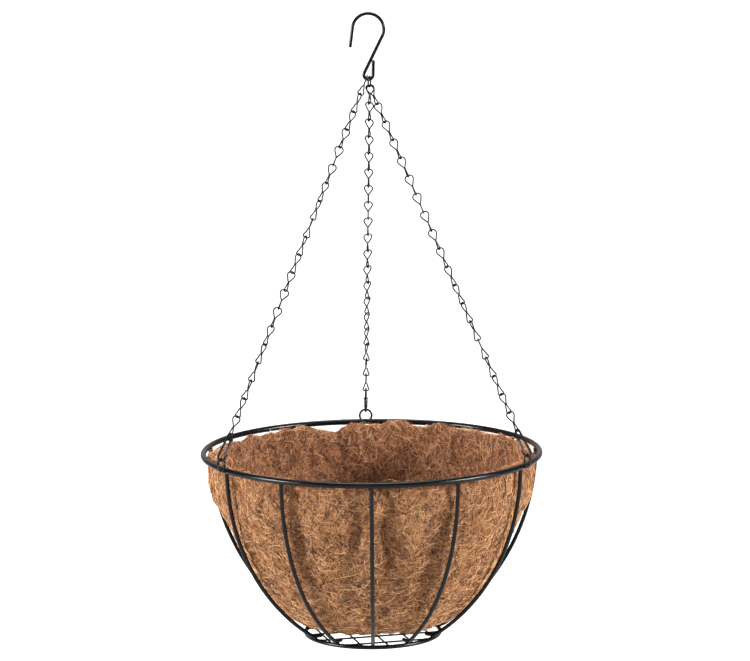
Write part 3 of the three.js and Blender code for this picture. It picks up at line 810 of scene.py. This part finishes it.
def pleat_depth(phi, s, radius):
    """How deep the pleats press the liner in, in millimetres, as a negative number."""
    depth_here = 0.0
    for angle, lean, depth, width, start, deepest, end in PLEATS:
        line = math.radians(angle) + math.radians(lean) * s / PLEAT["lean_over"]
        wander = sum(sway * np.sin(s / reach + turns * angle) for sway, reach, turns in PLEAT_WANDER)
        across = turn_from(phi, line) * radius - wander
        strength = np.interp(s, (start, deepest, end), (PLEAT["top_share"], 1.0, 0.0))
        away = across * (1 if angle > nearest_rib(angle) else -1)
        valley = np.where(away < 0, bell(away, width), bell(away, PLEAT["far_side"] * width))
        depth_here = depth_here + depth * strength * valley * (s < end)
    return depth_here


def fold_offset(phi, s, radius):
    """How far the whole thickness stands out of the smooth bowl, in millimetres."""
    place = ribs_passed(phi)
    gap = np.floor(place).astype(int) % RIB["count"]
    pillow = np.sin(math.pi * (place - np.floor(place)))**1.4
    bulge = np.array(BULGES)[gap] * pillow * bell(s - BULGE_BAND[0], BULGE_BAND[1])
    sag = np.array(SAGS)[gap] * pillow * bell(s - SAG_BAND[0], SAG_BAND[1])
    return bulge + sag + pleat_depth(phi, s, radius)


def edge_rise(phi):
    """How far the top edge stands above its middle height."""
    rise = 0.0
    for angle, height, width in EDGE_SHAPE:
        rise = rise + height * bell(turn_from(phi, math.radians(angle)), math.radians(width))
    for height, count, phase in EDGE_RIPPLES:
        rise = rise + height * np.sin(count * phi + phase)
    return rise


def unevenness(points, layers):
    """The layers of noise added up, in millimetres."""
    return sum(height * smooth_noise(points + shift, spacing, key) for height, spacing, shift, key in layers)


def down_the_side(v):
    """How far below the top edge a place on the liner's outline is, along its surface."""
    return np.where(v < LAST, LAST - v, np.maximum(v - LAST - EDGE, 0))


def liner_point(phi, v, lift):
    """A point on the liner, v along its whole outline: up the outside, over the edge, down the inside."""
    beta = np.clip((v - LAST) / EDGE, 0, 1) * math.pi
    s = np.clip(down_the_side(v), 0, LAST)
    radius, height = (np.interp(s, LENGTHS, SECTION[:, k]) for k in (0, 1))
    normal = np.stack([np.interp(s, LENGTHS, NORMALS[:, k]) for k in (0, 1)], -1)
    along = np.stack([np.interp(s, LENGTHS, ALONG[:, k]) for k in (0, 1)], -1)
    facing = np.cos(beta)[..., None] * normal - np.sin(beta)[..., None] * along
    rough = np.stack([radius * np.cos(phi), radius * np.sin(phi), height], -1) + facing[..., :1] * 2
    calm = np.clip(radius / LINER["calm_radius"], 0, 1)
    fade = bell(np.maximum(s - LINER["folds_end"], 0), LINER["folds_fade"])
    fold = fold_offset(phi, s, np.maximum(radius, LEAST_RADIUS["fold"])) * calm * fade
    fold = fold + unevenness(rough, BROAD_SWELLS) * calm + unevenness(rough, SMALL_SWELLS)
    near_rib = np.abs(turn_from(phi[..., None], np.radians(RIB_ANGLES))).min(-1) * radius
    fold = np.minimum(fold, RIB_LIMIT[0] + RIB_LIMIT[1] * near_rib)
    fold = np.minimum(fold, np.interp(s, *RIM_LIMIT))
    lumps = unevenness(rough, LUMPS)
    whole = np.clip(s / LINER["edge_reach"], 0, 1)
    thick = HALF * (LINER["edge_share"] + (1 - LINER["edge_share"]) * whole)
    at_radius = radius + normal[..., 0] * fold + facing[..., 0] * (thick + lumps + lift)
    at_height = height + normal[..., 1] * fold + facing[..., 1] * (thick + lumps + lift)
    at_height = at_height + edge_rise(phi) * bell(s, 30)
    point = np.stack([at_radius * np.cos(phi), at_radius * np.sin(phi), at_height + RIM_Z], -1)
    out = np.stack([facing[..., 0] * np.cos(phi), facing[..., 0] * np.sin(phi), facing[..., 1]], -1)
    return point, out


def liner_shell():
    """The mat itself, one closed skin, with one material outside and another inside."""
    columns, rows = 400, 232
    phi = 2 * math.pi * np.arange(columns) / columns
    v = np.linspace(3, WHOLE - 3, rows)
    grid_phi, grid_v = np.meshgrid(phi, v)
    points, _ = liner_point(grid_phi, grid_v, 0.0)
    verts = points.reshape(-1, 3)
    poles = np.stack([points[0].mean(0), points[-1].mean(0)])
    verts = np.concatenate([verts, poles])
    quads, tris = tube_faces(rows, columns)
    inside = np.repeat((v[:-1] > LAST + EDGE * 0.4).astype(int), columns)
    indices = np.concatenate([inside, np.zeros(columns, int), np.ones(columns, int)])
    add_piece("coir_liner_mat", (verts, quads, tris), [OUTER_MAT, INNER_MAT], "coir_liner",
              ["coir_liner"], indices)


FIBRE_STEPS = 6
FIBRE_SIDES = 3
FIBRES_PER_PIECE = 6000
# How much fibres bend and wave, in radians; how deep their ends sink in, how high they lie on each
# other and how round they arch; and how deep a pleat must be to paint shade on the largest share of them.
FIBRE = {"bend": 0.95, "wave": 0.55, "sunk": 0.15, "stack": 0.3, "arch": 0.8, "crease_shade_depth": 6.0,
         "crease_shade_share": 0.85}


def fibre_part(phi, v, lift, radii):
    """Thin three-sided fibres along rows of points on the liner, tapered at both ends."""
    points, out = liner_point(phi, v, lift)
    tangents = np.gradient(points, axis=1)
    tangents /= np.maximum(np.linalg.norm(tangents, axis=2), 1e-9)[..., None]
    side = np.cross(tangents, out)
    side /= np.maximum(np.linalg.norm(side, axis=2), 1e-9)[..., None]
    up = np.cross(side, tangents)
    taper = np.interp(np.linspace(0, 1, FIBRE_STEPS), (0, 0.2, 0.75, 1), (0.45, 1, 0.9, 0.3))
    reach = radii[:, None] * taper[None, :]
    turns = np.radians(90 + 360 / FIBRE_SIDES * np.arange(FIBRE_SIDES))[:, None]
    ring = up[:, :, None] * np.sin(turns) + side[:, :, None] * np.cos(turns)
    verts = points[:, :, None] + ring * reach[:, :, None, None]
    start = np.arange(len(points))[:, None] * FIBRE_STEPS * FIBRE_SIDES
    end = start + (FIBRE_STEPS - 1) * FIBRE_SIDES
    quads, _ = tube_faces(FIBRE_STEPS, FIBRE_SIDES)
    tris = np.concatenate([start + (2, 1, 0), end + (0, 1, 2)])
    return verts.reshape(-1, 3), (start[:, None] + quads).reshape(-1, 4), tris


def outline_places(rng, count, low, high):
    """Places along the liner's outline, as dense everywhere over its area."""
    v = np.linspace(low, high, 2000)
    radius = np.interp(down_the_side(v), LENGTHS, SECTION[:, 0]) + 4
    share = np.cumsum(radius)
    return np.interp(rng.uniform(0, share[-1], count), share, v)


def column(values):
    """One value for each row."""
    return values[:, None]


def add_fibres(name, count, low, high, materials, weights, seed, length, lift, radius):
    """Loose fibres on the mat between two places on its outline, in pieces of a handy size.

    Length and lift are a middle value and a spread, lift with its highest value; radius is a range.
    """
    rng = np.random.default_rng(seed)
    t = np.linspace(0, 1, FIBRE_STEPS)[None, :]
    made = 0
    number = 1
    while made < count:
        here = min(FIBRES_PER_PIECE, count - made)
        lengths = column(length[0] * np.exp(rng.normal(0, length[1], here)))
        heading = column(rng.uniform(0, 2 * math.pi, here))
        bend = column(rng.normal(0, FIBRE["bend"], here))
        wave = column(rng.normal(0, FIBRE["wave"], here))
        phase = column(rng.uniform(0, 2 * math.pi, here))
        theta = heading + bend * (t - 0.5) + wave * np.sin(2 * math.pi * t + phase)
        v0 = column(outline_places(rng, here, low, high))
        s0 = down_the_side(v0)
        r0 = np.maximum(np.interp(s0, LENGTHS, SECTION[:, 0]), LEAST_RADIUS["fibre"])
        ds = lengths / (FIBRE_STEPS - 1)
        v = v0 + np.cumsum(np.cos(theta) * ds, 1)
        phi = column(rng.uniform(0, 2 * math.pi, here)) + np.cumsum(np.sin(theta) * ds, 1) / r0
        v = np.clip(v, AXIS_GAP, WHOLE - AXIS_GAP)
        arch = column(lift[0] * np.exp(rng.normal(0, lift[1], here)))
        height = -FIBRE["sunk"] + arch * np.sin(math.pi * t)**FIBRE["arch"]
        height = height + column(rng.uniform(0, FIBRE["stack"], here))
        radii = rng.uniform(*radius, here)
        part = fibre_part(phi, v, np.minimum(height, lift[2]), radii)
        shade = rng.choice(len(materials), here, p=weights)
        # Fibres in a pleat's valley go two tones darker: this is painted shade in the crease.
        pressed = -pleat_depth(phi[:, 0], s0[:, 0], r0[:, 0])
        pleat_shaded = rng.uniform(size=here) < np.clip(pressed / FIBRE["crease_shade_depth"], 0, FIBRE["crease_shade_share"])
        shade = np.minimum(shade + 2 * pleat_shaded, len(materials) - 1)
        indices = np.concatenate([np.repeat(shade, (FIBRE_STEPS - 1) * FIBRE_SIDES), shade, shade])
        add_piece(f"{name}_{number}", part, materials, "coir_liner", (), indices)
        made += here
        number += 1


def liner():
    """The mat and its loose fibres: outside, inside and along the top edge."""
    liner_shell()
    middle = LAST + EDGE / 2
    shares = (0.22, 0.22, 0.21, 0.19, 0.16)
    edge_shares = (0.35, 0.3, 0.2, 0.1, 0.05)
    add_fibres("coir_fibres_outside", 24000, AXIS_GAP, middle, OUTER_FIBRES, shares, seed=11,
               length=(15, 0.45), lift=(0.45, 0.6, 2.0), radius=(0.13, 0.31))
    add_fibres("coir_fibres_inside", 15000, middle, WHOLE - AXIS_GAP, INNER_FIBRES, shares, seed=12,
               length=(16, 0.45), lift=(0.6, 0.7, 3.0), radius=(0.13, 0.31))
    add_fibres("coir_fibres_edge", 1600, LAST - 6, LAST + EDGE + 14, INNER_FIBRES, edge_shares, seed=13,
               length=(14, 0.4), lift=(1.5, 0.6, 5.5), radius=(0.11, 0.2))


# ---------- stage, light and camera, in metres

STUDIO = {"floor": -1.05, "front": -8.0, "back": 4.2, "sweep": 1.6, "top": 7.0, "half_width": 9.0}
# Each softbox's place, its size and its power in watts.
LIGHTS = {
    "left_box": ((-3.35, -1.35, 0.3), (1.5, 0.9), 198),
    "right_box": ((3.35, -1.35, 0.62), (1.5, 0.9), 205),
    "front_box": ((-0.2, -3.4, 1.9), (1.6, 0.8), 5),
    "top_box": ((0, 0.4, 2.4), (1.8, 1.8), 64),
}
FILL_LIGHT = 0.25
# Where the camera stands, in rim radii from the rim's middle, and how it is turned, in degrees.
CAMERA = {"across": 0.0265, "back": 20.0, "above": 3.883, "look_down": 8.954, "roll": -0.45,
          "lens": 164.2, "sensor": 36.0, "far": 50.0}


def stage_material():
    """Plain and pale, and white where the camera sees it."""
    n = Nodes("studio_floor")
    seen = n.new("ShaderNodeLightPath").outputs["Is Camera Ray"]
    return n.finish(base_color=(0.6, 0.6, 0.6, 1), roughness=0.9, emission_color=(1, 1, 1, 1),
                    emission_strength=seen)


def studio():
    """A pale floor under the basket that sweeps up into a backdrop."""
    back, floor_z, sweep, half = STUDIO["back"], STUDIO["floor"], STUDIO["sweep"], STUDIO["half_width"]
    turn = arc((back, floor_z + sweep), sweep, -90, 0, 24)
    profile = np.concatenate([[[STUDIO["front"], floor_z]], turn, [[back + sweep, STUDIO["top"]]]])
    verts, faces = [], []
    for y, z in profile:
        verts += [(-half, y, z), (half, y, z)]
    for i in range(len(profile) - 1):
        faces.append((2 * i, 2 * i + 1, 2 * i + 3, 2 * i + 2))
    mesh = bpy.data.meshes.new("studio_floor")
    mesh.from_pydata(verts, [], faces)
    for polygon in mesh.polygons:
        polygon.use_smooth = True
    mesh.materials.append(stage_material())
    floor = bpy.data.objects.new("studio_floor", mesh)
    bpy.context.scene.collection.objects.link(floor)


def softbox(name, place, target, size, power):
    """A soft rectangular lamp that faces the target."""
    data = bpy.data.lights.new(name, "AREA")
    data.shape = "RECTANGLE"
    data.size, data.size_y = size
    data.energy = power
    light = bpy.data.objects.new(name, data)
    light.location = place
    light.rotation_euler = (Vector(target) - Vector(place)).to_track_quat("-Z", "Y").to_euler()
    bpy.context.scene.collection.objects.link(light)


def lighting():
    """The softboxes, and an even white world."""
    middle = (0, 0, RIM_Z * MM)
    for name, (place, size, power) in LIGHTS.items():
        softbox(name, place, middle, size, power)
    world = bpy.data.worlds.new("studio_air")
    world.use_nodes = True
    tree = world.node_tree
    background = tree.nodes["Background"]
    background.inputs["Color"].default_value = (1, 1, 1, 1)
    # white where the camera sees it, and a dim fill light everywhere else
    strength = tree.nodes.new("ShaderNodeMath")
    strength.operation = "MULTIPLY_ADD"
    strength.inputs[1].default_value = 1 - FILL_LIGHT
    strength.inputs[2].default_value = FILL_LIGHT
    tree.links.new(tree.nodes.new("ShaderNodeLightPath").outputs["Is Camera Ray"], strength.inputs[0])
    tree.links.new(strength.outputs[0], background.inputs["Strength"])
    bpy.context.scene.world = world
    bpy.context.scene.view_settings.view_transform = "Standard"


def camera():
    """Looks a little down at the basket from far off, as a long lens does."""
    reach = RIM_RADIUS * MM
    place = Vector((CAMERA["across"] * reach, -CAMERA["back"] * reach, RIM_Z * MM + CAMERA["above"] * reach))
    data = bpy.data.cameras.new("camera")
    data.sensor_width = CAMERA["sensor"]
    data.lens = CAMERA["lens"]
    data.clip_end = CAMERA["far"]
    seen = bpy.data.objects.new("camera", data)
    tilt = Matrix.Rotation(math.radians(90 - CAMERA["look_down"]), 4, "X")
    roll = Matrix.Rotation(math.radians(CAMERA["roll"]), 4, "Z")
    seen.matrix_world = Matrix.Translation(place) @ tilt @ roll
    bpy.context.scene.collection.objects.link(seen)
    bpy.context.scene.camera = seen


# ---------- the basket

s_hook()
joining_link()
rim_and_base()
for number in range(RIB["count"]):
    rib(number)
grid_wires()
for side in SIDES:
    strand, strand_length = strand_frame(side)
    rim_ring(side)
    lifted = strand @ Matrix.Translation((0, 0, CLIP["play"]))
    clip(side, lifted)
    gate(side, lifted)
    chain(side, strand, strand_length)
liner()
studio()
lighting()
camera()

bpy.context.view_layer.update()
